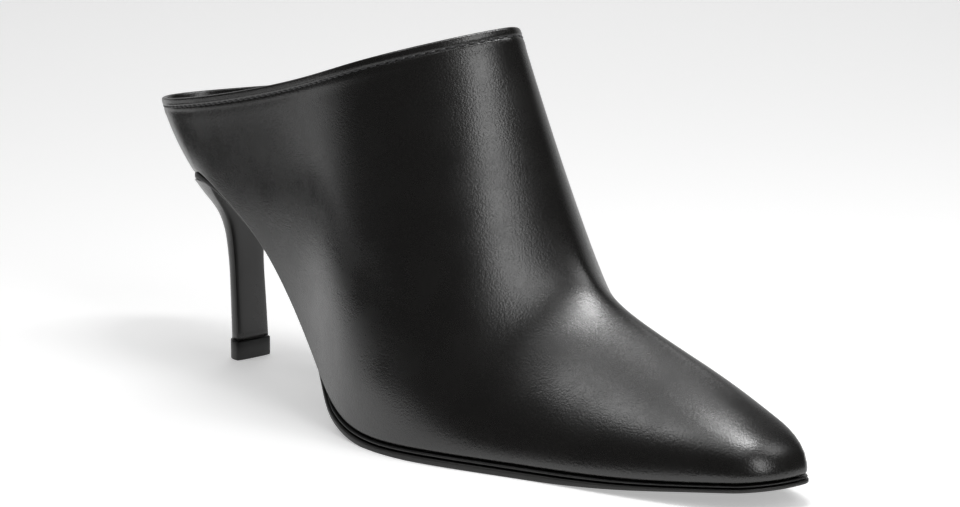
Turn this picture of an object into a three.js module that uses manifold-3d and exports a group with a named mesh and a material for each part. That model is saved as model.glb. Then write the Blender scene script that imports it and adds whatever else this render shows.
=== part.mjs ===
// A backless pointed pump, right foot: a high-cut mule on a slim heel.
// Millimetres. +X runs from heel to toe, +Y to the wearer's left, +Z up. The origin is on the
// floor, under the middle of the whole shoe.
import * as THREE from 'three';
import { mergeVertices } from 'three/addons/utils/BufferGeometryUtils.js';
import Module from 'manifold-3d';

const wasm = await Module();
wasm.setup();

// ---- driving dimensions of the last ----
const LENGTH = 260;          // back of the heel to the tip of the toe
const WALL = 2;              // outer leather and lining together
const GAP = 0.3;             // room between pieces that touch

const BACK_HEIGHT = 79;      // top line over the floor at the back
const THROAT_AT = 150;       // where the top line meets the instep
const TOP_LINE_DIP = 4.5;    // how far the top line hangs under a straight line

const SHAFT_SLOPE = 2.67;    // fall of the ridge in front of the ankle
const THROAT_HEIGHT = 114.4; // of the straight shaft line at the throat
const VAMP_SLOPE = 0.285;     // fall of the ridge over the toes
const TOE_HEIGHT = 18.9;     // ridge at the tip of the toe
const INSTEP_BEND = 11;      // softness of the bend between shaft and vamp
const RIDGE_CAP = 196;       // height that the ridge levels out at, behind the ankle
const CAP_BEND = 12;

const HEEL_ROUND = 26;       // plan rounding at the back
const TOE_ROUND = 10;        // plan rounding at the tip
const TOE_SQUARE = 2.3;      // power of that rounding; 2 would be an ellipse
const HEEL_TUCK = 20.5;      // how far the seat lies in front of the back of the top line
const TUCK_HEIGHT = 33;      // height that the tuck dies out in
const TUCK_LENGTH = 60;      // length that the tuck dies out in
const TOE_LEAN = 9;          // how far the top of the tip leans back
const TOE_LEAN_LENGTH = 40;

// One row for each section of the last. outer and inner: half-breadth at the feather edge.
// feather: its height. rise: fullness of the side. topOut, topIn: how far the rounded top reaches
// out from the ridge on either side. flare: how far the wall swells over the edge. lean: how far
// the ridge lies to the inner side.
const SECTIONS = [
  { at: 0, outer: 14, inner: 18.5, feather: 55, rise: 0.35, topOut: 12, topIn: 14, flare: 8, lean: 0 },
  { at: 15, outer: 16, inner: 20, feather: 59.5, rise: 0.35, topOut: 14, topIn: 16, flare: 8, lean: 0 },
  { at: 40, outer: 20.5, inner: 22, feather: 58.5, rise: 0.38, topOut: 18, topIn: 18, flare: 6, lean: 0 },
  { at: 75, outer: 23.5, inner: 21.5, feather: 41, rise: 0.53, topOut: 21, topIn: 18, flare: 4, lean: 0 },
  { at: 100, outer: 28.5, inner: 20.5, feather: 18, rise: 0.53, topOut: 22, topIn: 16, flare: 3, lean: 1 },
  { at: 125, outer: 39, inner: 26, feather: 5.2, rise: 0.42, topOut: 16, topIn: 12, flare: 2, lean: 2 },
  { at: 160, outer: 42.5, inner: 33, feather: 3.15, rise: 0.35, topOut: 9, topIn: 8, flare: 2, lean: 4 },
  { at: 190, outer: 33.5, inner: 26.5, feather: 3.15, rise: 0.35, topOut: 8.5, topIn: 8, flare: 2.5, lean: 5 },
  { at: 222, outer: 24.5, inner: 20.5, feather: 4.1, rise: 0.44, topOut: 8, topIn: 7.5, flare: 2.5, lean: 5 },
  { at: 245, outer: 16.2, inner: 13.2, feather: 6.1, rise: 0.57, topOut: 6.5, topIn: 6, flare: 2, lean: 4 },
  { at: 260, outer: 9.6, inner: 8.3, feather: 7.6, rise: 0.6, topOut: 5, topIn: 5, flare: 1.5, lean: 4 },
];

// ---- sole, insole and heel ----
const OUTSOLE_THICK = 1.8;
const RAND_THICK = 0.8;
const RAND_WIDTH = 2.4;
const RAND_PROUD = 0.4;      // beyond the feather edge
const RAND_START = 112;      // station where the rand begins, on both sides
const RAND_FADE = 14;        // length over which the sole drops to make room for it
const SOLE_PROUD = 0.9;      // in the forefoot
const TOE_THINNING = 0.55;   // what is left of sole and rand at the toe
const THIN_START = 195;      // station where they begin to thin
const THIN_END = 245;        // station where they are thin
const WAIST_INSET = 1.6;     // of the sole edge under the waist
const SEAT_INSET = 0.2;      // of the sole edge under the heel seat
const SEAT_END = 28;         // station where the sole edge begins to draw in
const WAIST_START = 48;      // station where it is fully in
const WAIST_END = 96;        // station where the sole edge begins to come out
const FOREPART_START = 122;  // station where it is fully out
const INSOLE_THICK = 2.2;

const TOP_PIECE_HEIGHT = 6;
const TOP_PIECE_PROUD = 0.5;
// One row for each level of the heel. up: part of the way from the top piece to the seat.
// breast: where its flat front face is. half: half-width there. depth: breast to back.
const HEEL_LEVELS = [
  { up: 0, breast: 38.6, half: 6.2, depth: 7 },
  { up: 0.3, breast: 37.6, half: 6.1, depth: 6.3 },
  { up: 0.55, breast: 36.9, half: 6.3, depth: 6.6 },
  { up: 0.7, breast: 36.8, half: 7.8, depth: 8.2 },
  { up: 0.8, breast: 37.2, half: 10.4, depth: 10.8 },
  { up: 0.9, breast: 38.4, half: 14.8, depth: 15 },
  { up: 1, breast: 40, half: 18.8, depth: 19.4 },
];

// ---- fineness of the meshes ----
const STATION_STEPS = 34;
const ROUND_STEPS = 6;
const SIDE_STEPS = 9;
const HEEL_STEPS = 9;
const HEEL_RINGS = 14;

const lerp = THREE.MathUtils.lerp;
const smooth = (x, from, to) => THREE.MathUtils.smoothstep(x, from, to);
const range = (count) => Array.from({ length: count }, (_, i) => i);

// Natural cubic spline through one column of a table: continuous in slope and curvature.
function spline(rows, by, column) {
  const x = rows.map((row) => row[by]);
  const y = rows.map((row) => row[column]);
  const n = x.length;
  const curve = new Array(n).fill(0);
  const weight = new Array(n).fill(0);
  for (let i = 1; i < n - 1; i++) {
    const share = (x[i] - x[i - 1]) / (x[i + 1] - x[i - 1]);
    const pivot = share * curve[i - 1] + 2;
    const bend = (y[i + 1] - y[i]) / (x[i + 1] - x[i]) - (y[i] - y[i - 1]) / (x[i] - x[i - 1]);
    curve[i] = (share - 1) / pivot;
    weight[i] = ((6 * bend) / (x[i + 1] - x[i - 1]) - share * weight[i - 1]) / pivot;
  }
  const second = new Array(n).fill(0);
  for (let i = n - 2; i > 0; i--) second[i] = curve[i] * second[i + 1] + weight[i];
  return (at) => {
    let i = 1;
    while (i < n - 1 && at > x[i]) i += 1;
    const h = x[i] - x[i - 1];
    const a = (x[i] - at) / h;
    const b = 1 - a;
    const cubic = (a ** 3 - a) * second[i - 1] + (b ** 3 - b) * second[i];
    return a * y[i - 1] + b * y[i] + (cubic * h * h) / 6;
  };
}

const last = Object.fromEntries(
  Object.keys(SECTIONS[0]).filter((name) => name !== 'at')
    .map((name) => [name, spline(SECTIONS, 'at', name)]),
);
const heelLevel = Object.fromEntries(
  ['breast', 'half', 'depth'].map((name) => [name, spline(HEEL_LEVELS, 'up', name)]),
);

// The greater of two values, rounded where they cross.
const softMax = (a, b, bend) => (a + b) / 2 + Math.hypot((a - b) / 2, bend);

// Height of the ridge: the shaft line and the vamp line joined by a soft bend.
function ridgeHeight(at) {
  const shaft = THROAT_HEIGHT - SHAFT_SLOPE * (at - THROAT_AT);
  const vamp = TOE_HEIGHT + VAMP_SLOPE * (LENGTH - at);
  return -softMax(-softMax(shaft, vamp, INSTEP_BEND), -RIDGE_CAP, CAP_BEND);
}

const ridgeSlope = (at) => ridgeHeight(at - 0.5) - ridgeHeight(at + 0.5);

// Height of the top line, nearly straight from the back to the throat.
function topLineHeight(x) {
  const t = x / THROAT_AT;
  return lerp(BACK_HEIGHT, ridgeHeight(THROAT_AT), t) - TOP_LINE_DIP * 4 * t * (1 - t);
}

// How much of the breadth is left where the plan is rounded off at heel and toe.
function endRound(at, inset) {
  const heel = Math.max(0, (HEEL_ROUND - at) / (HEEL_ROUND - inset));
  const toe = Math.max(0, (at - (LENGTH - TOE_ROUND)) / (TOE_ROUND - inset));
  const square = Math.max(0, 1 - toe ** TOE_SQUARE) ** (1 / TOE_SQUARE);
  return Math.sqrt(Math.max(0, 1 - heel * heel)) * square;
}

// Stations from inset to LENGTH - inset, set closer at both ends and behind the throat.
function stations(inset) {
  const quarter = (i) => (Math.PI / 2) * (i / ROUND_STEPS);
  const heel = range(ROUND_STEPS).map((i) => HEEL_ROUND - (HEEL_ROUND - inset) * Math.cos(quarter(i)));
  const middle = range(STATION_STEPS).map((i) => lerp(HEEL_ROUND, LENGTH - TOE_ROUND, i / STATION_STEPS));
  const toe = range(ROUND_STEPS + 1)
    .map((i) => LENGTH - TOE_ROUND + (TOE_ROUND - inset) * Math.sin(quarter(i)));
  return [...heel, ...middle, ...toe];
}

// Plan shift along X of a point at a station and a height over the feather edge: the heel tucks
// in under the foot, and the tip of the toe leans back.
function profileShift(at, over, ridgeOver) {
  const tuck = Math.max(0, 1 - Math.max(0, over) / TUCK_HEIGHT) ** 2;
  const heel = HEEL_TUCK * tuck * Math.max(0, 1 - at / TUCK_LENGTH) ** 1.5;
  const toeward = Math.max(0, (at - (LENGTH - TOE_LEAN_LENGTH)) / TOE_LEAN_LENGTH) ** 2;
  const toe = TOE_LEAN * Math.min(1, Math.max(0, over / ridgeOver)) ** 2.5 * toeward;
  return heel - toe;
}

const centreLine = (at) => (at > LENGTH / 2 ? last.lean(at) : 0);

// A point of the last's surface. side: -1 outer, +1 inner. v: 0 at the feather edge, 1 at the
// ridge, along one cubic curve that leaves the edge with its flare and crosses the ridge level.
function lastPoint(at, side, v, inset) {
  const half = (side < 0 ? last.outer(at) : last.inner(at)) - inset;
  const crown = side < 0 ? last.topOut(at) : last.topIn(at);
  const feather = last.feather(at);
  const ridge = ridgeHeight(at) - inset * Math.hypot(1, ridgeSlope(at));
  const lean = last.lean(at);
  const edge = side * half;
  const curve = new THREE.CubicBezierCurve(
    new THREE.Vector2(edge, feather),
    new THREE.Vector2(edge + side * last.flare(at), lerp(feather, ridge, last.rise(at))),
    new THREE.Vector2(lean + side * crown, ridge),
    new THREE.Vector2(lean, ridge),
  );
  const point = curve.getPoint(v);
  const middle = centreLine(at);
  const y = middle + (point.x - middle) * endRound(at, inset);
  const x = at + profileShift(at, point.y - feather, ridge - feather);
  return new THREE.Vector3(x, y, point.y);
}

// The station whose feather edge lies at x, found by halving.
function stationAt(x) {
  if (x >= TUCK_LENGTH) return x;
  let [low, high] = [0, TUCK_LENGTH];
  for (let i = 0; i < 24; i++) {
    const middle = (low + high) / 2;
    if (middle + profileShift(middle, 0, 1) < x) low = middle;
    else high = middle;
  }
  return low;
}

// A point of the feather edge in plan, with the heel's tuck.
function featherPlan(at, side) {
  const half = side < 0 ? last.outer(at) : last.inner(at);
  const middle = centreLine(at);
  const y = middle + (side * half - middle) * endRound(at, 0);
  return new THREE.Vector2(at + profileShift(at, 0, 1), y);
}

// A point of the feather edge, moved out by proud square to the edge, and down by below.
function edgePoint(at, side, proud, below) {
  const near = 0.02;
  const behind = featherPlan(Math.max(0, at - near), side);
  const ahead = featherPlan(Math.min(LENGTH, at + near), side);
  const along = ahead.sub(behind).normalize();
  const point = featherPlan(at, side);
  const x = point.x - side * along.y * proud;
  const atEnd = at <= 0 || at >= LENGTH;
  const y = atEnd ? point.y : point.y + side * along.x * proud;
  return new THREE.Vector3(x, y, last.feather(stationAt(x)) - below);
}

// ---- meshes from rings of points ----
function geometryFromRings(rings) {
  const width = rings[0].length;
  const positions = rings.flat().flatMap((p) => [p.x, p.y, p.z]);
  const faces = [];
  for (let i = 0; i < rings.length - 1; i++) {
    for (let j = 0; j < width; j++) {
      const a = i * width + j;
      const b = i * width + ((j + 1) % width);
      faces.push(a, b, b + width, a, b + width, a + width);
    }
  }
  const lastRing = (rings.length - 1) * width;
  for (let j = 1; j < width - 1; j++) {
    faces.push(0, j + 1, j);
    faces.push(lastRing, lastRing + j, lastRing + j + 1);
  }
  const geometry = new THREE.BufferGeometry();
  geometry.setAttribute('position', new THREE.Float32BufferAttribute(positions, 3));
  geometry.setIndex(faces);
  return dropFlatFaces(mergeVertices(geometry, 1e-3));
}

function dropFlatFaces(geometry) {
  const index = Array.from(geometry.index.array);
  const kept = [];
  for (let i = 0; i < index.length; i += 3) {
    const [a, b, c] = index.slice(i, i + 3);
    if (a !== b && b !== c && c !== a) kept.push(a, b, c);
  }
  geometry.setIndex(kept);
  return geometry;
}

function toSolid(geometry) {
  const plain = geometry.clone();
  plain.deleteAttribute('normal');
  plain.deleteAttribute('uv');
  const merged = dropFlatFaces(mergeVertices(plain, 1e-4));
  return new wasm.Manifold(new wasm.Mesh({
    numProp: 3,
    vertProperties: Float32Array.from(merged.attributes.position.array),
    triVerts: Uint32Array.from(merged.index.array),
  }));
}

function toGeometry(solid) {
  const mesh = solid.getMesh();
  const geometry = new THREE.BufferGeometry();
  geometry.setAttribute('position', new THREE.Float32BufferAttribute(mesh.vertProperties, 3));
  geometry.setIndex(Array.from(mesh.triVerts));
  return geometry;
}

// ---- the pieces ----
// The last itself, as a closed body. skirt carries its sides down past the feather edge.
function lastBody(inset, skirt) {
  const rings = stations(inset).map((at) => {
    const outer = range(SIDE_STEPS + 1).map((j) => lastPoint(at, -1, j / SIDE_STEPS, inset));
    const inner = range(SIDE_STEPS).map((j) => lastPoint(at, 1, 1 - (j + 1) / SIDE_STEPS, inset));
    const ring = [...outer, ...inner];
    if (skirt > 0) {
      ring.unshift(ring[0].clone().setZ(ring[0].z - skirt));
      ring.push(ring[ring.length - 1].clone().setZ(ring[ring.length - 1].z - skirt));
    }
    return ring.reverse();
  });
  return toSolid(geometryFromRings(rings));
}

// Everything above the top line, as a slab across the shoe.
function aboveTopLine() {
  const over = RIDGE_CAP + 30;
  const from = -20;
  const to = THROAT_AT + 20;
  const steps = 24;
  const outline = range(steps + 1).map((i) => lerp(from, to, i / steps));
  const shape = new THREE.Shape(outline.map((x) => new THREE.Vector2(x, topLineHeight(x))));
  shape.lineTo(to, over);
  shape.lineTo(from, over);
  const slab = new THREE.ExtrudeGeometry(shape, { depth: 160, bevelEnabled: false });
  slab.rotateX(Math.PI / 2);
  slab.translate(0, 80, 0);
  return toSolid(slab);
}

function upperGeometry() {
  const skirt = 6;
  const shell = lastBody(0, 0).subtract(lastBody(WALL, skirt));
  return toGeometry(shell.subtract(aboveTopLine()));
}

// Sole and rand grow thinner, and stand out less, towards the toe.
const thinning = (at) => lerp(1, TOE_THINNING, smooth(at, THIN_START, THIN_END));
const soleThick = (at) => OUTSOLE_THICK * thinning(at);
const randThick = (at) => RAND_THICK * thinning(at);

// How far the outsole lies under the feather edge: room for the rand in the forepart.
const randRoom = (at) => (randThick(at) + GAP) * smooth(at, RAND_START - RAND_FADE, RAND_START);
const soleTop = (at) => GAP + randRoom(at);

// A sheet under the foot, as a row of four-cornered sections from heel to toe. Where it would
// reach under the floor it is flat.
function sheetGeometry(proud, top, bottom) {
  const rings = stations(0).map((at) => {
    const corners = [[-1, bottom], [1, bottom], [1, top], [-1, top]];
    const points = corners.map(([side, level]) => edgePoint(at, side, proud(at), level(at)));
    return points.map((point) => point.setZ(Math.max(0, point.z)));
  });
  return geometryFromRings(rings);
}

function insoleGeometry() {
  const proud = () => -WALL - GAP;
  const bottom = (at) => soleTop(at) - GAP;
  return sheetGeometry(proud, (at) => bottom(at) - INSOLE_THICK, bottom);
}

// How far the edge of the sole stands out from the feather edge.
function soleEdge(at) {
  const behind = lerp(-SEAT_INSET, -WAIST_INSET, smooth(at, SEAT_END, WAIST_START));
  return lerp(behind, SOLE_PROUD * thinning(at), smooth(at, WAIST_END, FOREPART_START));
}

function outsoleGeometry() {
  return sheetGeometry(soleEdge, soleTop, (at) => soleTop(at) + soleThick(at));
}

// A strip of leather that follows the feather edge round the toe, from the outer side to the inner.
function randGeometry() {
  const along = stations(0).filter((at) => at >= RAND_START);
  const section = (at, side) => {
    const proud = RAND_PROUD * thinning(at);
    const bottom = GAP + randThick(at);
    return [
      edgePoint(at, side, proud, GAP),
      edgePoint(at, side, proud, bottom),
      edgePoint(at, side, proud - RAND_WIDTH, bottom),
      edgePoint(at, side, proud - RAND_WIDTH, GAP),
    ];
  };
  const outer = along.map((at) => section(at, -1));
  const inner = along.map((at) => section(at, 1)).reverse();
  return geometryFromRings([...outer, ...inner.slice(1)]);
}

// Height of the underside of the sole over the heel.
const seatHeight = (x) => last.feather(stationAt(x)) - soleTop(0) - OUTSOLE_THICK;

// A level section of the heel: flat breast, round back.
function heelRing(breast, half, depth, centre, height) {
  const back = range(HEEL_STEPS * 2 + 1).map((i) => {
    const turn = (Math.PI * i) / (HEEL_STEPS * 2);
    const x = breast - depth * Math.sin(turn) ** 0.9;
    return new THREE.Vector3(x, centre - half * Math.cos(turn), height(x));
  });
  return back.reverse();
}

function heelGeometry() {
  const foot = TOP_PIECE_HEIGHT + GAP;
  const rings = range(HEEL_RINGS + 1).map((i) => {
    const up = (i / HEEL_RINGS) ** 0.75;
    const height = (x) => lerp(foot, seatHeight(x) - GAP, up);
    const centre = 1.5 * smooth(up, 0.5, 1);
    return heelRing(heelLevel.breast(up), heelLevel.half(up), heelLevel.depth(up), centre, height);
  });
  return geometryFromRings(rings);
}

function topPieceGeometry() {
  const { breast, half, depth } = HEEL_LEVELS[0];
  const grown = [breast + TOP_PIECE_PROUD / 2, half + TOP_PIECE_PROUD, depth + TOP_PIECE_PROUD * 1.5];
  const rings = [0, TOP_PIECE_HEIGHT].map((z) => heelRing(...grown, 0, () => z));
  return geometryFromRings(rings);
}

// ---- finishes and the assembly ----
const finish = (color, roughness) => new THREE.MeshStandardMaterial({ color, roughness, metalness: 0 });
const calf = finish(0x141414, 0.42);
const soleBlack = finish(0x191817, 0.55);
const heelBlack = finish(0x151312, 0.3);
const lining = finish(0x2a2724, 0.7);

const group = new THREE.Group();
function add(name, geometry, material) {
  const mesh = new THREE.Mesh(geometry, material);
  mesh.name = name;
  group.add(mesh);
}

add('upper', upperGeometry(), calf);
add('insole', insoleGeometry(), lining);
add('rand', randGeometry(), soleBlack);
add('outsole', outsoleGeometry(), soleBlack);
add('heel', heelGeometry(), heelBlack);
add('top_piece', topPieceGeometry(), soleBlack);

const box = new THREE.Box3().setFromObject(group);
group.position.set(-(box.min.x + box.max.x) / 2, -(box.min.y + box.max.y) / 2, -box.min.z);
group.updateMatrixWorld(true);

export default group;
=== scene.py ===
import bmesh
import bpy
import numpy as np
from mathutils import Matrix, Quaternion, Vector


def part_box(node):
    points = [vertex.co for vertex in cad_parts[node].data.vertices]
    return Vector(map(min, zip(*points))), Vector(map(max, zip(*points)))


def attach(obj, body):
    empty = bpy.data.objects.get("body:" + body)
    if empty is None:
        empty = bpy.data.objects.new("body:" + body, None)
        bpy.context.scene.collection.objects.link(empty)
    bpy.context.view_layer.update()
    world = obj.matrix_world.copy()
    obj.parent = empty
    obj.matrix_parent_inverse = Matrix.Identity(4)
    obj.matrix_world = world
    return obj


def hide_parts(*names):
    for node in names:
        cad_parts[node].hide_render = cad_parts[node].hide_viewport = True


# A black calf mule on a slim heel, right foot. Shapes are worked out in millimetres from the back
# of the last (x towards the toe, y towards the inner side, z up) and moved onto the frame.
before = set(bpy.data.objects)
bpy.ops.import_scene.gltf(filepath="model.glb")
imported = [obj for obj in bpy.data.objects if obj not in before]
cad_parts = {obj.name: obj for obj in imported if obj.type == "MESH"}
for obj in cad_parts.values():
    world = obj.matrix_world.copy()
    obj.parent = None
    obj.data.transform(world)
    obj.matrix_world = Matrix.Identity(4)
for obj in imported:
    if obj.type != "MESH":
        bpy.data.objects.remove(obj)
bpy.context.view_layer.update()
print("frame loaded:", sorted(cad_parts))

mm = 0.001

last = {
    "length": 260.0, "throat": 150.0, "backHeight": 79.0, "throatHeight": 114.4, "shaftSlope": 2.67,
    "toeHeight": 18.9, "vampSlope": 0.285, "instepBend": 11.0, "ridgeCap": 196.0, "capBend": 12.0,
    "topLineDip": 4.5, "heelRound": 26.0, "toeRound": 10.0, "toeSquare": 2.3,
    "heelTuck": 20.5, "tuckHeight": 33.0, "tuckLength": 60.0, "toeLean": 9.0, "toeLeanLength": 40.0,
    # half-breadths and height of the feather edge, fullness, crown, swell and lean by station
    "columns": ("outer", "inner", "feather", "rise", "topOut", "topIn", "flare", "lean"),
    "sections": {
        0: (14, 18.5, 55, 0.35, 12, 14, 8, 0),
        15: (16, 20, 59.5, 0.35, 14, 16, 8, 0),
        40: (20.5, 22, 58.5, 0.38, 18, 18, 6, 0),
        75: (23.5, 21.5, 41, 0.53, 21, 18, 4, 0),
        100: (28.5, 20.5, 18, 0.53, 22, 16, 3, 1),
        125: (39, 26, 5.2, 0.42, 16, 12, 2, 2),
        160: (42.5, 33, 3.15, 0.35, 9, 8, 2, 4),
        190: (33.5, 26.5, 3.15, 0.35, 8.5, 8, 2.5, 5),
        222: (24.5, 20.5, 4.1, 0.44, 8, 7.5, 2.5, 5),
        245: (16.2, 13.2, 6.1, 0.57, 6.5, 6, 2, 4),
        260: (9.6, 8.3, 7.6, 0.6, 5, 5, 1.5, 4),
    },
}
outer, inner = -1.0, 1.0  # the two sides of the shoe


# natural cubic spline: y'' is solved from the three-term rows, with y'' = 0 at both ends
def splineThrough(x, y):
    x, y = np.asarray(x, float), np.asarray(y, float)
    h = np.diff(x)
    size = len(x)
    inside = np.arange(1, size - 1)
    rows = np.eye(size)
    rows[inside, inside - 1] = h[:-1]
    rows[inside, inside] = 2 * (h[:-1] + h[1:])
    rows[inside, inside + 1] = h[1:]
    pull = np.zeros(size)
    pull[1:-1] = 6 * np.diff(np.diff(y) / h)
    bend = np.linalg.solve(rows, pull)

    def curve(t):
        t = np.asarray(t, float)
        k = np.clip(np.searchsorted(x, t) - 1, 0, size - 2)
        a = (x[k + 1] - t) / h[k]
        b = 1 - a
        curl = (a ** 3 - a) * bend[k] + (b ** 3 - b) * bend[k + 1]
        return a * y[k] + b * y[k + 1] + curl * h[k] ** 2 / 6

    return curve


lastCurve = {
    name: splineThrough(list(last["sections"]), [row[i] for row in last["sections"].values()])
    for i, name in enumerate(last["columns"])
}


# 0 before start and 1 after end, with 3t^2 - 2t^3 between them
def smoothStep(x, start, end):
    t = np.clip((x - start) / (end - start), 0, 1)
    return t * t * (3 - 2 * t)


# a hump of height 1: exp(-((x - middle) / reach)^2)
def bell(x, middle, reach):
    return np.exp(-((x - middle) / reach) ** 2)


# the greater of a and b, rounded where they cross: (a+b)/2 + hypot((a-b)/2, bend)
def softMax(a, b, bend):
    return (a + b) / 2 + np.hypot((a - b) / 2, bend)


# height of the ridge: straight shaft line and vamp line in a soft bend, level over the cap
def ridgeHeight(s):
    shaft = last["throatHeight"] - last["shaftSlope"] * (s - last["throat"])
    vamp = last["toeHeight"] + last["vampSlope"] * (last["length"] - s)
    bent = softMax(shaft, vamp, last["instepBend"])
    return -softMax(-bent, -last["ridgeCap"], last["capBend"])


# height of the top line: straight from back to throat, less a parabola
def topLine(x):
    t = x / last["throat"]
    return last["backHeight"] + t * (ridgeHeight(last["throat"]) - last["backHeight"]) \
        - last["topLineDip"] * 4 * t * (1 - t)


# how far a point at station s moves along x: the seat tucks in, the tip of the toe leans back
def profileShift(s, over, ridgeOver):
    tuck = np.maximum(0, 1 - np.maximum(0, over) / last["tuckHeight"]) ** 2
    heel = last["heelTuck"] * tuck * np.maximum(0, 1 - s / last["tuckLength"]) ** 1.5
    toeward = np.maximum(0, (s - last["length"]) / last["toeLeanLength"] + 1) ** 2
    return heel - last["toeLean"] * np.clip(over / ridgeOver, 0, 1) ** 2.5 * toeward


# what is left of the breadth where the plan is rounded off: sqrt(1-heel^2) * (1-toe^n)^(1/n)
def endRound(s):
    heel = np.clip((last["heelRound"] - s) / last["heelRound"], 0, 1)
    toe = np.clip((s - last["length"]) / last["toeRound"] + 1, 0, 1)
    return np.sqrt(1 - heel ** 2) * (1 - toe ** last["toeSquare"]) ** (1 / last["toeSquare"])


# the line that the ends are rounded towards: straight behind, leaning inwards in the forepart
def middleLine(s):
    return np.where(s > last["length"] / 2, lastCurve["lean"](s), 0)


# distance of the feather edge from the middle, on either side
def halfBreadth(s, side):
    return np.where(side < 0, lastCurve["outer"](s), lastCurve["inner"](s))


# height on the section at s: a cubic from the feather edge (v=0) to the ridge (v=1)
def sectionHeight(s, v):
    low, high = lastCurve["feather"](s), ridgeHeight(s)
    full = low + (high - low) * lastCurve["rise"](s)
    return (1 - v) ** 3 * low + 3 * (1 - v) ** 2 * v * full + (3 * (1 - v) * v ** 2 + v ** 3) * high


# distance across on the same cubic, squeezed towards the middle line by endRound
def sectionAcross(s, side, v):
    edge = side * halfBreadth(s, side)
    crown = np.where(side < 0, lastCurve["topOut"](s), lastCurve["topIn"](s))
    lean = lastCurve["lean"](s)
    across = (1 - v) ** 3 * edge + 3 * (1 - v) ** 2 * v * (edge + side * lastCurve["flare"](s)) \
        + 3 * (1 - v) * v ** 2 * (lean + side * crown) + v ** 3 * lean
    middle = middleLine(s)
    return middle + (across - middle) * endRound(s)


# the argument between low and high where a rising function crosses zero, by halving
def crossing(rising, low, high):
    for _ in range(44):
        middle = (low + high) / 2
        below = rising(middle) < 0
        low, high = np.where(below, middle, low), np.where(below, high, middle)
    return (low + high) / 2


# the station and the place on its section that lie at x, z in the side view
def onLast(x, z):
    def ahead(s):
        feather = lastCurve["feather"](s)
        return s + profileShift(s, z - feather, ridgeHeight(s) - feather) - x
    s = crossing(ahead, np.zeros_like(x), np.full_like(x, last["length"]))
    v = crossing(lambda v: sectionHeight(s, v) - z, np.zeros_like(x), np.ones_like(x))
    return s, v


# the station whose feather edge lies at x
def stationAt(x):
    return crossing(lambda s: s + profileShift(s, 0, 1) - x, np.zeros_like(x),
                    np.full_like(x, last["length"]))


topPieceLow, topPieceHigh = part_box("top_piece")
heel = {
    "columns": ("breast", "half", "depth"),
    # part of the way up: front face, half-width and depth of the level
    "levels": {
        0: (38.6, 6.2, 7), 0.3: (37.6, 6.1, 6.3), 0.55: (36.9, 6.3, 6.6), 0.7: (36.8, 7.8, 8.2),
        0.8: (37.2, 10.4, 10.8), 0.9: (38.4, 14.8, 15), 1: (40, 18.8, 19.4),
    },
    "corner": 1.1, "cornerPower": 3.4,  # rounding of the two breast edges
    "backPower": 0.9, "rings": 57, "ringPower": 0.75, "sides": 72,
    "topPiece": 6.0, "gap": 0.3, "topPieceProud": 0.5, "seatShift": 1.5,
}
# the top piece's front stands half its proud in front of the lowest level's breast
origin = np.array([
    topPieceHigh.x - (heel["levels"][0][0] + heel["topPieceProud"] / 2) * mm,
    (topPieceLow.y + topPieceHigh.y) / 2,
    0,
])


# quads between neighbours of a rows x columns grid; either way round can be closed
def gridFaces(rows, columns, closeRows=False, closeColumns=False):
    i = np.arange(rows if closeRows else rows - 1)[:, None]
    j = np.arange(columns if closeColumns else columns - 1)[None, :]
    nextI, nextJ = (i + 1) % rows, (j + 1) % columns
    corners = [i * columns + j, i * columns + nextJ, nextI * columns + nextJ, nextI * columns + j]
    return np.stack([np.broadcast_to(c, (i.size, j.size)) for c in corners], -1).reshape(-1, 4)


# a smooth piece from points in millimetres; doubles are merged so that seams and poles close
def makePiece(name, points, faces, finish, merge=0.002):
    mesh = bpy.data.meshes.new(name)
    mesh.from_pydata((points.reshape(-1, 3) * mm + origin).tolist(), [], faces.tolist())
    work = bmesh.new()
    work.from_mesh(mesh)
    if merge:
        bmesh.ops.remove_doubles(work, verts=work.verts, dist=merge * mm)
        bmesh.ops.dissolve_degenerate(work, dist=merge * mm / 2, edges=work.edges)
    bmesh.ops.recalc_face_normals(work, faces=work.faces)
    work.to_mesh(mesh)
    work.free()
    mesh.polygons.foreach_set("use_smooth", np.ones(len(mesh.polygons), bool))
    mesh.materials.append(finish)
    piece = bpy.data.objects.new(name, mesh)
    bpy.context.scene.collection.objects.link(piece)
    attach(piece, "root")
    return piece


# a tube's rings with each end drawn together to its centre
def closeEnds(rings):
    start, end = (np.repeat(rings[i].mean(0)[None, None], rings.shape[1], 1) for i in (0, -1))
    return np.concatenate([start, rings, end])


# each vector divided by its length
def unit(vectors):
    return vectors / np.maximum(np.linalg.norm(vectors, axis=-1, keepdims=True), 1e-12)


# one output of a node; sums, differences and products of outputs add Math nodes
class Output:
    def __init__(self, finish, socket):
        self.finish, self.socket = finish, socket

    def maths(self, operation, first, second):
        return self.finish.add("ShaderNodeMath", {"operation": operation}, {0: first, 1: second})

    def __add__(self, other):
        return self.maths("ADD", self, other)

    def __radd__(self, other):
        return self.maths("ADD", other, self)

    def __sub__(self, other):
        return self.maths("SUBTRACT", self, other)

    def __rsub__(self, other):
        return self.maths("SUBTRACT", other, self)

    def __mul__(self, other):
        return self.maths("MULTIPLY", self, other)

    def __rmul__(self, other):
        return self.maths("MULTIPLY", other, self)


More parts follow.
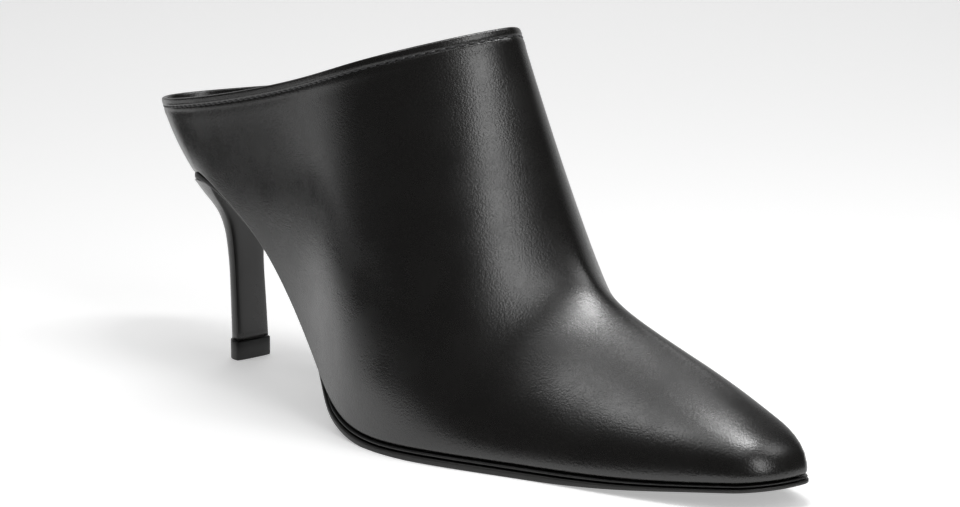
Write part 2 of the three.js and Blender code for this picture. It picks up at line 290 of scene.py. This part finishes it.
# a material or a world; add makes any node from its type, its settings and its sockets
class Finish:
    def __init__(self, owner):
        self.owner = owner
        owner.use_nodes = True
        owner.node_tree.nodes.clear()

    def add(self, kind, settings=None, sockets=None, output=0):
        tree = self.owner.node_tree
        node = tree.nodes.new(kind)
        for name, value in (settings or {}).items():
            setattr(node, name, value)
        for name, value in (sockets or {}).items():
            if isinstance(value, Output):
                tree.links.new(value.socket, node.inputs[name])
            elif node.inputs[name].type == "RGBA":
                node.inputs[name].default_value = (*value, 1)
            else:
                node.inputs[name].default_value = value
        return Output(self, node.outputs[output]) if node.outputs else None

    def done(self, shader, output="ShaderNodeOutputMaterial"):
        self.add(output, None, {"Surface": shader})
        return self.owner


def newFinish(name):
    return Finish(bpy.data.materials.new(name))


calf = {
    "black": (0.0046, 0.0042, 0.0038), "worn": (0.0066, 0.0061, 0.0056), "roughness": 0.27,
    "pebble": 0.5, "pebbleHeight": 0.034, "pore": 0.2,  # grain in millimetres
}


# pebbles from soft cells bent by noise, with fine pores between them, and a slow drift of both
def makeCalf():
    finish = newFinish("calf")
    place = finish.add("ShaderNodeTexCoord", None, None, "Object")
    warp = finish.add("ShaderNodeTexNoise", None,
                      {"Vector": place, "Scale": 900.0, "Detail": 1.0}, "Color")
    bent = finish.add("ShaderNodeVectorMath", {"operation": "MULTIPLY_ADD"},
                      {0: warp, 1: (0.0006, 0.0006, 0.0006), 2: place})
    cells = finish.add("ShaderNodeTexVoronoi", {"feature": "SMOOTH_F1"},
                       {"Vector": bent, "Scale": 1 / (calf["pebble"] * mm), "Smoothness": 0.6},
                       "Distance")
    pores = finish.add("ShaderNodeTexNoise", None,
                       {"Vector": place, "Scale": 1 / (calf["pore"] * mm), "Detail": 2.0}, "Fac")
    drift = finish.add("ShaderNodeTexNoise", None,
                       {"Vector": place, "Scale": 90.0, "Detail": 3.0}, "Fac")
    broad = finish.add("ShaderNodeTexNoise", None,
                       {"Vector": place, "Scale": 22.0, "Detail": 2.0}, "Fac")
    height = (1 - cells) * (0.55 + drift * 0.9) + pores * 0.35
    bump = finish.add("ShaderNodeBump", None,
                      {"Height": height, "Strength": 1.0, "Distance": calf["pebbleHeight"] * mm})
    colour = finish.add("ShaderNodeMix", {"data_type": "RGBA"},
                        {"Factor": broad, 6: calf["black"], 7: calf["worn"]}, 2)
    roughness = calf["roughness"] + (drift - 0.5) * 0.12 + (pores - 0.5) * 0.1
    shader = finish.add("ShaderNodeBsdfPrincipled", None, {
        "Base Color": colour, "Roughness": roughness, "Normal": bump, "IOR": 1.65})
    return finish.done(shader)


# a plain finish: fine noise for its grain, slow noise for its colour and gloss
def makePlain(name, colour, roughness, grain, height, coat=0.0):
    finish = newFinish(name)
    place = finish.add("ShaderNodeTexCoord", None, None, "Object")
    fine = finish.add("ShaderNodeTexNoise", None,
                      {"Vector": place, "Scale": 1 / (grain * mm), "Detail": 3.0}, "Fac")
    broad = finish.add("ShaderNodeTexNoise", None,
                       {"Vector": place, "Scale": 60.0, "Detail": 3.0}, "Fac")
    bump = finish.add("ShaderNodeBump", None,
                      {"Height": fine, "Strength": 1.0, "Distance": height * mm})
    lighter = tuple(c * 1.6 + 0.001 for c in colour)
    shade = finish.add("ShaderNodeMix", {"data_type": "RGBA"},
                       {"Factor": broad, 6: colour, 7: lighter}, 2)
    shader = finish.add("ShaderNodeBsdfPrincipled", None, {
        "Base Color": shade, "Roughness": roughness + (broad - 0.5) * 0.2, "Normal": bump,
        "Coat Weight": coat, "Coat Roughness": 0.15})
    return finish.done(shader)


calfFinish = makeCalf()
liningFinish = makePlain("lining", (0.012, 0.0105, 0.008), 0.55, 0.35, 0.02)
sockFinish = makePlain("sock", (0.013, 0.0115, 0.009), 0.5, 0.4, 0.03)
threadFinish = makePlain("thread", (0.02, 0.02, 0.021), 0.42, 0.15, 0.03)
soleFinish = makePlain("soleLeather", (0.012, 0.0115, 0.011), 0.5, 0.3, 0.02)
edgeFinish = makePlain("edgeInk", (0.012, 0.012, 0.012), 0.35, 0.25, 0.015)
heelFinish = makePlain("heelCover", (0.0065, 0.006, 0.0055), 0.28, 0.5, 0.008, 0.1)
tipFinish = makePlain("tip", (0.011, 0.011, 0.011), 0.42, 0.2, 0.02)
print("finishes made")

upper = {
    "halfRound": 200,       # columns on each side, from the back of the heel to the toe
    "edge": 0.75, "edgeSteps": 11,  # radius of the folded top edge
    "calfWall": 1.15, "foldDepth": 8.0, "foldEnd": 10.5, "wall": 2.0,
    "lineBelow": 2.75, "lineWidth": 0.5, "lineDepth": 0.22,
    "pads": ((1.5, 0.7), (4.6, 1.1)), "puff": 0.12,  # middle and reach of each, and their height
    "footRound": 1.5,       # rounding over the feather edge
    # soft hills and hollows: side, middle x and z, length, height, turn in radians, depth
    "softness": (
        (outer, 120, 62, 26, 9, -0.9, 0.22), (outer, 140, 46, 22, 6, -0.5, -0.26),
        (outer, 92, 66, 30, 12, 0.5, 0.25), (outer, 70, 72, 20, 8, 0.2, -0.2),
        (outer, 168, 30, 24, 7, -0.35, 0.16), (outer, 150, 18, 30, 6, 0.05, 0.14),
        (inner, 118, 60, 24, 9, -0.8, 0.22), (inner, 138, 44, 20, 6, -0.5, -0.24),
        (inner, 80, 68, 26, 10, 0.4, 0.2),
    ),
    # distances of the net's rows under the top line and over the feather edge
    "rimRows": (0.75, 1.0, 1.3, 1.6, 1.9, 2.15, 2.35, 2.55, 2.75, 2.95, 3.15, 3.35, 3.6, 3.9, 4.3,
                4.8, 5.5, 6.4, 7.6, 9.2),
    "footRows": (3.0, 2.2, 1.6, 1.2, 0.85, 0.5, 0.2, 0.0),
    "bodyRows": 58,
    "liningHalfRound": 110, "liningRimRows": (2.2, 2.5, 3.0, 4.0, 6.0, 8.0, 9.0, 10.5),
    "liningFootRows": (1.6, 0.4), "liningBodyRows": 40, "liningThin": 0.25,
}


# outline of the ridge in the side view, from the throat over the toe and down its tip
def ridgeOutline(w):
    s = np.linspace(last["throat"], last["length"], 400)
    down = np.linspace(1, 0, 80)[1:]
    low, high = lastCurve["feather"](last["length"]), ridgeHeight(last["length"])
    x = np.concatenate([s + profileShift(s, 1.0, 1.0), last["length"] - last["toeLean"] * down ** 2.5])
    z = np.concatenate([ridgeHeight(s), low + (high - low) * down])
    along = np.concatenate([[0], np.cumsum(np.hypot(np.diff(x), np.diff(z)))])
    return np.interp(w * along[-1], along, x), np.interp(w * along[-1], along, z)


# side view of the net f (0 back, 1 ridge) by w (0 top line, 1 feather edge): the top line and the
# feather edge are blended straight, and the back and the ridge add their own bend at the two ends
def sideView(f, w):
    heelFeather = lastCurve["feather"](0.0)

    def backX(z):
        return profileShift(0.0, z - heelFeather, 1.0)

    backTop = crossing(lambda z: z - topLine(backX(z)), np.array(60.0), np.array(95.0))
    s = f * last["length"]
    topX = backX(backTop) + f * (last["throat"] - backX(backTop))
    backZ = backTop + w * (heelFeather - backTop)
    ridgeX, ridgeZ = ridgeOutline(w)
    toeX, toeZ = last["length"], lastCurve["feather"](last["length"])
    bendBack, bendRidge = (1 - f) ** 2, f ** 3
    x = (1 - w) * topX + w * (s + profileShift(s, 0, 1)) \
        + bendBack * (backX(backZ) - (1 - w) * backX(backTop) - w * backX(heelFeather)) \
        + bendRidge * (ridgeX - (1 - w) * last["throat"] - w * toeX)
    z = (1 - w) * topLine(topX) + w * lastCurve["feather"](s) \
        + bendRidge * (ridgeZ - (1 - w) * topLine(last["throat"]) - w * toeZ)
    return x, z


# columns run once round the shoe: back of the heel, outer side, ridge, inner side, and back
def roundShoe(count):
    k = np.arange(2 * count)
    u = np.where(k <= count, k / count, 2 - k / count)
    side = np.where(k < count, outer, inner)
    shared = (k == 0) | (k == count)
    return (1 - np.cos(np.pi * u)) / 2, side, shared


# points of the outside of the upper at net places f, w
def upperPoint(f, w, side, shared):
    x, z = sideView(f, w)
    s, v = onLast(x, z)
    y = sectionAcross(s, side, v)
    other = sectionAcross(s, -side, v)
    return np.stack([x, np.where(shared, (y + other) / 2, y), z], -1)


# the net with its rows at fixed distances under the top line and over the feather edge
def upperNet(count, rimRows, footRows, bodyRows):
    f, side, shared = (a[None, :] for a in roundShoe(count))
    near = 0.01
    one = np.ones_like(f)
    rimScale = np.linalg.norm(
        upperPoint(f, near * one, side, shared) - upperPoint(f, 0 * one, side, shared), axis=-1) / near
    footScale = np.linalg.norm(
        upperPoint(f, (1 - near) * one, side, shared) - upperPoint(f, one, side, shared), axis=-1) / near
    rim = np.array(rimRows)[:, None] / rimScale
    foot = 1 - np.array(footRows)[:, None] / footScale
    t = (np.arange(1, bodyRows) / bodyRows)[:, None]
    w = np.concatenate([rim, rim[-1:] + (foot[:1] - rim[-1:]) * t, foot])
    full = np.broadcast_to
    return upperPoint(full(f, w.shape), w, full(side, w.shape), full(shared, w.shape)), w * rimScale


# outward normals of a net that is closed along its columns
def netNormals(net):
    around = np.roll(net, -1, 1) - np.roll(net, 1, 1)
    down = np.gradient(net, axis=0)
    return unit(np.cross(down, around))


# stitched line, pads beside it and soft hills and hollows, in millimetres along the normal
def upperRelief(net, below):
    x, y, z = net[..., 0], net[..., 1], net[..., 2]
    line = bell(below, upper["lineBelow"], upper["lineWidth"])
    pad = sum(bell(below, middle, reach) for middle, reach in upper["pads"])
    relief = upper["puff"] * pad - upper["lineDepth"] * line
    for side, middleX, middleZ, long, high, turn, depth in upper["softness"]:
        c, s = np.cos(turn), np.sin(turn)
        along, across = c * (x - middleX) + s * (z - middleZ), c * (z - middleZ) - s * (x - middleX)
        onSide = 1 / (1 + np.exp(-side * (y - 2) / 3))
        relief = relief + depth * onSide * bell(along, 0, long) * bell(across, 0, high)
    return relief * smoothStep(below, 0, 3)


# depth of the calf's inner face: twice the edge radius along the fold, the calf's own below it
def calfDepth(below):
    fold = 2 * upper["edge"]
    return fold + (upper["calfWall"] - fold) * smoothStep(below, upper["foldDepth"], upper["foldEnd"])


# the calf: outside, inside and the rolled top edge, as one net closed both ways
def upperShell():
    net, below = upperNet(upper["halfRound"], upper["rimRows"], upper["footRows"], upper["bodyRows"])
    normals = netNormals(net)
    upward = unit(net[0] - net[1])
    relief = upperRelief(net, below)
    footRows = np.array(upper["footRows"])
    turn = np.clip(1 - footRows / upper["footRound"], 0, 1)
    tuck = 0.8 * upper["footRound"] * (1 - np.sqrt(1 - turn ** 2))
    inward = np.zeros(len(net))
    inward[-len(footRows):] = tuck
    outside = net + normals * (relief - inward[:, None])[..., None]
    depth = np.maximum(calfDepth(below), inward[:, None] + 0.3)
    pick = np.unique(np.concatenate([np.arange(0, len(net), 4), [len(net) - 1]]))
    inside = (net - normals * depth[..., None])[pick][::-1]
    centre = net[0] - normals[0] * upper["edge"]
    angle = np.linspace(np.pi, 0, upper["edgeSteps"])[1:-1]
    roll = centre + upper["edge"] * (np.cos(angle)[:, None, None] * normals[0]
                                     + np.sin(angle)[:, None, None] * upward)
    return np.concatenate([outside, inside, roll]), net, normals


print("working out the upper")
shell, upperSurface, upperNormals = upperShell()
upperPiece = makePiece("upper_calf", shell, gridFaces(*shell.shape[:2], True, True), calfFinish, 0)
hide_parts("upper")


# the lining: the same net between two depths, with a rounded top edge inside the fold
def liningShell():
    rows = upper["liningRimRows"]
    net, below = upperNet(upper["liningHalfRound"], rows, upper["liningFootRows"],
                          upper["liningBodyRows"])
    normals = netNormals(net)
    calfInside = calfDepth(below)
    top = smoothStep(below, rows[0] - 0.1, rows[0] + 0.8)
    outsideDepth = calfInside + 0.04
    thin = upper["liningThin"]
    insideDepth = outsideDepth + thin + (upper["wall"] + 0.1 - calfInside - thin) * top
    outside = net - normals * outsideDepth[..., None]
    inside = net - normals * np.maximum(insideDepth, outsideDepth + 0.2)[..., None]
    return np.concatenate([outside, inside[::-1]])


liningNet = liningShell()
liningPiece = makePiece("lining", liningNet, gridFaces(*liningNet.shape[:2], True, True), liningFinish, 0)

stitch = {
    "pitch": 2.9, "length": 2.15, "width": 0.62, "height": 0.42, "dip": 0.16, "lift": 0.12,
    "innerLift": 0.02, "rings": 9, "sides": 8, "blunt": 0.55,
}


# values along a closed line, each repeated at its start
def closed(values):
    return np.concatenate([values, values[:1]])


# capsules: length/2 sin(a) along the line, radius cos(a) to a power, laid along its tangent
def stitchRow(line, normals, lift):
    along = np.concatenate([[0], np.cumsum(np.linalg.norm(np.diff(closed(line), axis=0), axis=1))])
    length = along[-1]
    count = int(round(length / stitch["pitch"]))
    at = (np.arange(count) + 0.5) / count * length

    def pointAt(values, t):
        return np.stack([np.interp(t, along, closed(values)[:, c]) for c in range(3)], -1)

    normal = unit(pointAt(normals, at))
    tangent = unit(pointAt(line, (at + 0.4) % length) - pointAt(line, (at - 0.4) % length))
    normal = unit(normal - tangent * (normal * tangent).sum(-1, keepdims=True))
    a = np.linspace(-np.pi / 2, np.pi / 2, stitch["rings"])[:, None]
    b = np.arange(stitch["sides"]) / stitch["sides"] * 2 * np.pi
    girth = np.maximum(np.cos(a), 0) ** stitch["blunt"]
    run = stitch["length"] / 2 * np.sin(a) + 0 * b
    across = girth * np.cos(b) * stitch["width"] / 2
    up = girth * np.sin(b) * stitch["height"] / 2 - stitch["dip"] * np.abs(np.sin(a)) ** 3 + lift
    parts = ((run, tangent), (across, np.cross(normal, tangent)), (up, normal))
    return pointAt(line, at)[:, None, None] + sum(
        size[None, ..., None] * way[:, None, None] for size, way in parts)


# the capsules of several rows in one mesh, their faces numbered on from one another
def stitchPiece(name, lines):
    blocks = [stitchRow(*line) for line in lines]
    points = np.concatenate([block.reshape(-1, 3) for block in blocks])
    rings, sides = blocks[0].shape[1:3]
    one = gridFaces(rings, sides, False, True)
    total = sum(len(block) for block in blocks)
    faces = (one[None] + (np.arange(total) * rings * sides)[:, None, None]).reshape(-1, 4)
    return makePiece(name, points, faces, threadFinish)


stitchRowIndex = upper["rimRows"].index(upper["lineBelow"])
seamLine = upperSurface[stitchRowIndex] - upperNormals[stitchRowIndex] * upper["lineDepth"]
innerLine = upperSurface[stitchRowIndex] - upperNormals[stitchRowIndex] * (upper["wall"] + 0.12)
stitches = stitchPiece("top_line_stitches", [
    (seamLine, upperNormals[stitchRowIndex], stitch["lift"]),
    (innerLine, -upperNormals[stitchRowIndex], stitch["innerLift"]),
])
print("upper, lining and stitches made")

sole = {
    "halfRound": 130, "gap": 0.3, "thick": 1.8, "proud": 0.9, "waistInset": 1.6, "seatInset": 0.2,
    "seatEnd": 28, "waistStart": 48, "waistEnd": 96, "forepartStart": 122,
    "randThick": 0.8, "randWidth": 2.4, "randProud": 0.4, "randStart": 112, "randFade": 14,
    "toeThinning": 0.55, "thinStart": 195, "thinEnd": 245,
    "randSides": 14, "randBelow": 0.12, "randTaper": 9,
    "sockThick": 2.2, "sockInset": 2.25, "sockCrown": 0.5, "fillRows": 9, "spine": 0.9,
    # the sole's edge in section: how far in, and how far down of its thickness
    "edgeSection": ((0.5, 0), (0.14, 0.02), (0.02, 0.14), (0, 0.35), (0, 0.62), (0.05, 0.82),
                    (0.22, 0.95), (0.6, 1)),
    "sockSection": ((0.5, 0), (0.2, 0.04), (0, 0.2), (0, 0.9), (0.2, 1)),
}


# sole and rand grow thinner, and stand out less, towards the toe
def thinning(s):
    return 1 - (1 - sole["toeThinning"]) * smoothStep(s, sole["thinStart"], sole["thinEnd"])


# how far the sole's top lies under the feather edge, with room for the rand in the forepart
def soleTop(s):
    room = sole["randThick"] * thinning(s) + sole["gap"]
    return sole["gap"] + room * smoothStep(s, sole["randStart"] - sole["randFade"], sole["randStart"])


# how far the sole stands out of the feather edge: drawn in at the waist, proud in front
def soleReach(s):
    back = -sole["seatInset"] + (sole["seatInset"] - sole["waistInset"]) \
        * smoothStep(s, sole["seatEnd"], sole["waistStart"])
    front = sole["proud"] * thinning(s)
    return back + (front - back) * smoothStep(s, sole["waistEnd"], sole["forepartStart"])


# plan of the feather edge once round, and its outward directions
def featherPlan(count):
    f, side, shared = roundShoe(count)
    s = f * last["length"]
    middle = middleLine(s)
    y = np.where(shared, middle, middle + (side * halfBreadth(s, side) - middle) * endRound(s))
    plan = np.stack([s + profileShift(s, 0, 1), y], -1)
    along = unit(np.roll(plan, -1, 0) - np.roll(plan, 1, 0))
    return s, plan, np.stack([along[:, 1], -along[:, 0]], -1)


# points of a sheet under the foot: plan moved out by reach, at the feather edge's height at that x
def underFoot(plan, below):
    z = lastCurve["feather"](stationAt(plan[..., 0])) - below
    return np.concatenate([plan, np.maximum(z, 0)[..., None]], -1)


# a sheet: from a line along its middle out to the edge section and back in underneath
def sheetPoints(reach, section, top, thick, crown=0.0):
    s, plan, out = featherPlan(sole["halfRound"])
    middleX = (plan[0, 0] + plan[sole["halfRound"], 0]) / 2
    spine = np.stack([middleX + sole["spine"] * (plan[:, 0] - middleX), 0 * s], -1)
    spine[:, 1] = middleLine(spine[:, 0])
    edge = [(reach(s) - inset)[:, None] * out + plan for inset, _ in section]
    down = [top(s) + thick(s) * part for _, part in section]
    t = np.linspace(0, 1, sole["fillRows"])
    upperRows = [spine + (edge[0] - spine) * k for k in t[:-1]]
    lowerRows = [edge[-1] + (spine - edge[-1]) * k for k in t[1:]]
    rows = [underFoot(row, down[0] - crown * (1 - k ** 2)) for row, k in zip(upperRows, t)]
    rows += [underFoot(row, level) for row, level in zip(edge, down)]
    rows += [underFoot(row, down[-1]) for row in lowerRows]
    return np.stack(rows)


solePoints = sheetPoints(soleReach, sole["edgeSection"], soleTop,
                         lambda s: sole["thick"] * thinning(s))
outsolePiece = makePiece("outsole_leather", solePoints,
                         gridFaces(*solePoints.shape[:2], False, True), soleFinish)
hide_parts("outsole")

sockPoints = sheetPoints(lambda s: -sole["sockInset"] + 0 * s, sole["sockSection"],
                         lambda s: soleTop(s) - sole["gap"] - sole["sockThick"],
                         lambda s: sole["sockThick"] + 0 * s, sole["sockCrown"])
sockPiece = makePiece("sock", sockPoints, gridFaces(*sockPoints.shape[:2], False, True), sockFinish)
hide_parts("insole")


# the rand: a rounded strip carried round the toe, drawn in and thinned towards its two ends
def randPoints():
    s, plan, out = featherPlan(sole["halfRound"])
    fore = s >= sole["randStart"]
    s, plan, out = s[fore], plan[fore], out[fore]
    a = np.arange(sole["randSides"]) / sole["randSides"] * 2 * np.pi
    across = np.sign(np.cos(a)) * np.abs(np.cos(a)) ** 0.5 * sole["randWidth"] / 2
    level = np.sign(np.sin(a)) * np.abs(np.sin(a)) ** 0.6 * sole["randThick"] / 2
    fade = smoothStep(s, sole["randStart"], sole["randStart"] + sole["randTaper"])
    middle = sole["randProud"] * thinning(s) - sole["randWidth"] / 2 - 0.8 * (1 - fade)
    rows = []
    for reach, down in zip(across, level):
        row = plan + (middle + reach)[:, None] * out
        thick = thinning(s) * (0.25 + 0.75 * fade)
        rows.append(underFoot(
            row, sole["randBelow"] + sole["randThick"] * thinning(s) / 2 + down * thick))
    return closeEnds(np.stack(rows, 1))


randNet = randPoints()
randPiece = makePiece("rand_strip", randNet, gridFaces(*randNet.shape[:2], False, True), edgeFinish)
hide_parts("rand")
print("sole, sock and rand made")

heelCurve = {
    name: splineThrough(list(heel["levels"]), [row[i] for row in heel["levels"].values()])
    for i, name in enumerate(heel["columns"])
}


# a level of the heel: half-round back, flat breast with rounded corners (a superellipse in front)
def heelRing(breast, half, depth, corner, centre):
    t = np.arange(heel["sides"]) / heel["sides"] * 2 * np.pi
    c, s = np.cos(t), np.sin(t)
    back = s >= 0
    power = 2 / heel["cornerPower"]
    x = np.where(back, -(depth - corner) * np.abs(s) ** heel["backPower"], corner * np.abs(s) ** power)
    y = np.where(back, -half * c, -half * np.sign(c) * np.abs(c) ** power)
    return breast - corner + x, centre + y


# levels of the heel from the top piece up to the underside of the sole, closer near the seat
def heelPoints():
    up = np.linspace(0, 1, heel["rings"]) ** heel["ringPower"]
    rows = []
    foot = heel["topPiece"] + heel["gap"]
    for level in up:
        x, y = heelRing(heelCurve["breast"](level), heelCurve["half"](level), heelCurve["depth"](level),
                        heel["corner"], heel["seatShift"] * smoothStep(level, 0.5, 1))
        seat = lastCurve["feather"](stationAt(x)) - soleTop(0.0) - sole["thick"] - heel["gap"]
        rows.append(np.stack([x, y, foot + (seat - foot) * level], -1))
    return closeEnds(np.stack(rows))


heelNet = heelPoints()
heelPiece = makePiece("heel_cover", heelNet, gridFaces(*heelNet.shape[:2], False, True), heelFinish)
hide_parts("heel")


# the top piece: the lowest level of the heel grown all round, with eased edges
def tipPoints():
    breast, half, depth = heel["levels"][0]
    proud = heel["topPieceProud"]
    top = heel["topPiece"]
    section = ((0.4, 0), (0.1, 0.12), (0, 0.4), (0, top - 0.3), (0.12, top - 0.06), (0.35, top))
    rows = []
    for inset, z in section:
        x, y = heelRing(breast + proud / 2 - inset, half + proud - inset, depth + proud * 1.5 - inset,
                        heel["corner"], 0.0)
        rows.append(np.stack([x, y, 0 * x + z], -1))
    return closeEnds(np.stack(rows))


tipNet = tipPoints()
tipPiece = makePiece("heel_tip", tipNet, gridFaces(*tipNet.shape[:2], False, True), tipFinish)
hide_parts("top_piece")
print("heel made")

studio = {
    "floor": (0.88, 0.88, 0.88), "floorGlow": 0.4, "size": 6.0,
    "behind": (-0.69, 0.71, 0.1), "dim": 0.07, "bright": 0.55,
    "flag": ((-0.3, 0.02), (-0.2, -0.4), 0.035),
    "camera": {"place": (0.6083, -0.5548, 0.2210), "yaw": 46.9, "pitch": 10.54, "lens": 110.5,
               "shift": (0, -0.0703)},
    # soft boxes: place, aim, size, power, turn in degrees
    "lamps": {
        "overhead": ((-0.05, 0, 1.3), (0, 0, 0), (1.1, 1.1), 3.4, 0),
        "shoulder": ((-0.37, -0.37, 1.08), (0, 0, 0.03), (0.25, 0.25), 0.9, 0),
        "strip": ((0.86, -0.22, 0.65), (0, 0, 0.06), (0.22, 0.65), 2.2, 0),
        "ridge": ((0.08, 0.035, 0.47), (0.08, 0.035, 0), (0.17, 0.06), 0.75, 38.5),
        "corner": ((0.45, 0.35, 0.85), (0, 0, 0), (0.3, 0.3), 0.9, 0),
        "back": ((-0.75, 0.8, 1.1), (-0.75, 0.8, 0), (0.6, 0.6), 3.0, 0),
    },
}


# a flat stage piece through four corners, which is no part of the shoe
def stagePanel(name, corners, material):
    mesh = bpy.data.meshes.new(name)
    mesh.from_pydata(corners, [], [(0, 1, 2, 3)])
    mesh.materials.append(material)
    panel = bpy.data.objects.new(name, mesh)
    bpy.context.scene.collection.objects.link(panel)
    return panel


# a wide sheet of pale paper that glows a little, as it does under strong light
def makeFloor():
    finish = newFinish("floorPaper")
    shader = finish.add("ShaderNodeBsdfPrincipled", None,
                        {"Base Color": studio["floor"], "Roughness": 0.6, "Specular IOR Level": 0.2,
                         "Emission Color": (1.0, 1.0, 1.0), "Emission Strength": studio["floorGlow"]})
    half = studio["size"] / 2
    corners = [(-half, -half, 0), (half, -half, 0), (half, half, 0), (-half, half, 0)]
    stagePanel("floor", corners, finish.done(shader))


# a soft box: an area lamp at place, turned to look at aim
def softBox(name, place, aim, size, power, turn):
    lamp = bpy.data.lights.new(name, "AREA")
    lamp.shape = "RECTANGLE"
    lamp.size, lamp.size_y = size
    lamp.energy = power
    box = bpy.data.objects.new(name, lamp)
    box.location = place
    look = (Vector(aim) - Vector(place)).to_track_quat("-Z", "Y")
    box.rotation_euler = (look @ Quaternion((0, 0, 1), np.radians(turn))).to_euler()
    bpy.context.scene.collection.objects.link(box)


# the room is bright behind the shoe and dim on the side it is looked at from
def makeWorld():
    room = Finish(bpy.data.worlds.new("studio"))
    way = room.add("ShaderNodeTexCoord", None, None, "Generated")
    behind = room.add("ShaderNodeVectorMath", {"operation": "DOT_PRODUCT"},
                      {0: way, 1: studio["behind"]}, "Value")
    share = room.add("ShaderNodeMapRange", {"interpolation_type": "SMOOTHSTEP"},
                     {"Value": behind, "From Min": 0.55, "From Max": 1.0,
                      "To Min": studio["dim"], "To Max": studio["bright"]})
    light = room.add("ShaderNodeBackground", None, {"Color": (1.0, 1.0, 1.0), "Strength": share})
    bpy.context.scene.world = room.done(light, "ShaderNodeOutputWorld")


# the camera, tipped down by pitch and turned from +y by yaw
def makeCamera():
    view = studio["camera"]
    lens = bpy.data.cameras.new("camera")
    lens.sensor_width = 36
    lens.lens = view["lens"]
    lens.shift_x, lens.shift_y = view["shift"]
    lens.clip_start, lens.clip_end = 0.05, 20
    camera = bpy.data.objects.new("camera", lens)
    camera.location = view["place"]
    camera.rotation_euler = (np.radians(90 - view["pitch"]), 0, np.radians(view["yaw"]))
    bpy.context.scene.collection.objects.link(camera)
    bpy.context.scene.camera = camera


# a low black strip beside the shoe, seen only in the calf's gloss, where it darkens the wall
def makeFlag():
    (x0, y0), (x1, y1), height = studio["flag"]
    finish = newFinish("flagCloth")
    shader = finish.add("ShaderNodeBsdfDiffuse", None, {"Color": (0.01, 0.01, 0.01)})
    corners = [(x0, y0, 0), (x1, y1, 0), (x1, y1, height), (x0, y0, height)]
    flag = stagePanel("flag", corners, finish.done(shader))
    flag.visible_camera = flag.visible_shadow = flag.visible_diffuse = False


makeFloor()
makeFlag()
makeWorld()
for name, lampValues in studio["lamps"].items():
    softBox(name, *lampValues)
bpy.context.scene.view_settings.view_transform = "Standard"
makeCamera()
print("studio made")
